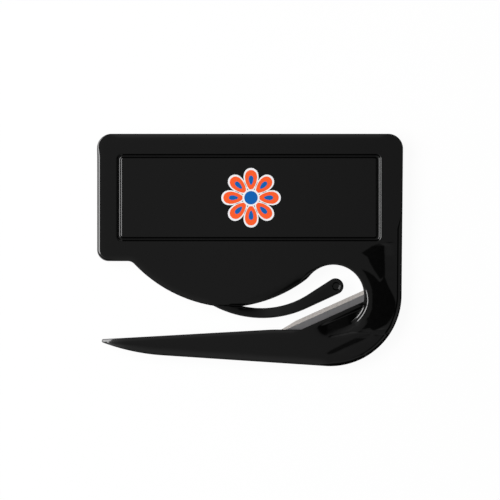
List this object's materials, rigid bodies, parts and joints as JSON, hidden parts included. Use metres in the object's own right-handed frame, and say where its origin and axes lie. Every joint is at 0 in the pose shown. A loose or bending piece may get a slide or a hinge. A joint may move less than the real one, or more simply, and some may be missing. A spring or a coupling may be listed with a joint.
{
  "type": "letter opener",
  "caption": "Flat hand-held letter slitter: grooved print panel on a rounded handle, pointed arm, curved guide finger and a steel blade across the throat",
  "frame": {"origin": "middle of the outline in plan, on the flat back face", "axes": "+X along the handle from the arm's point toward the hook, +Y across the handle away from the arm, +Z out of the printed front face"},
  "size_m": [0.1048, 0.0796, 0.005],
  "materials": {
    "moulded_plastic": "gloss black injection-moulded polystyrene",
    "ground_steel": "rolled strip with a ground bevel",
    "print_ink": "screen-printed ornament"
  },
  "bodies": {
    "root": {"front_shell": "moulded_plastic", "back_shell": "moulded_plastic", "blade": "ground_steel"}
  },
  "joints": []
}
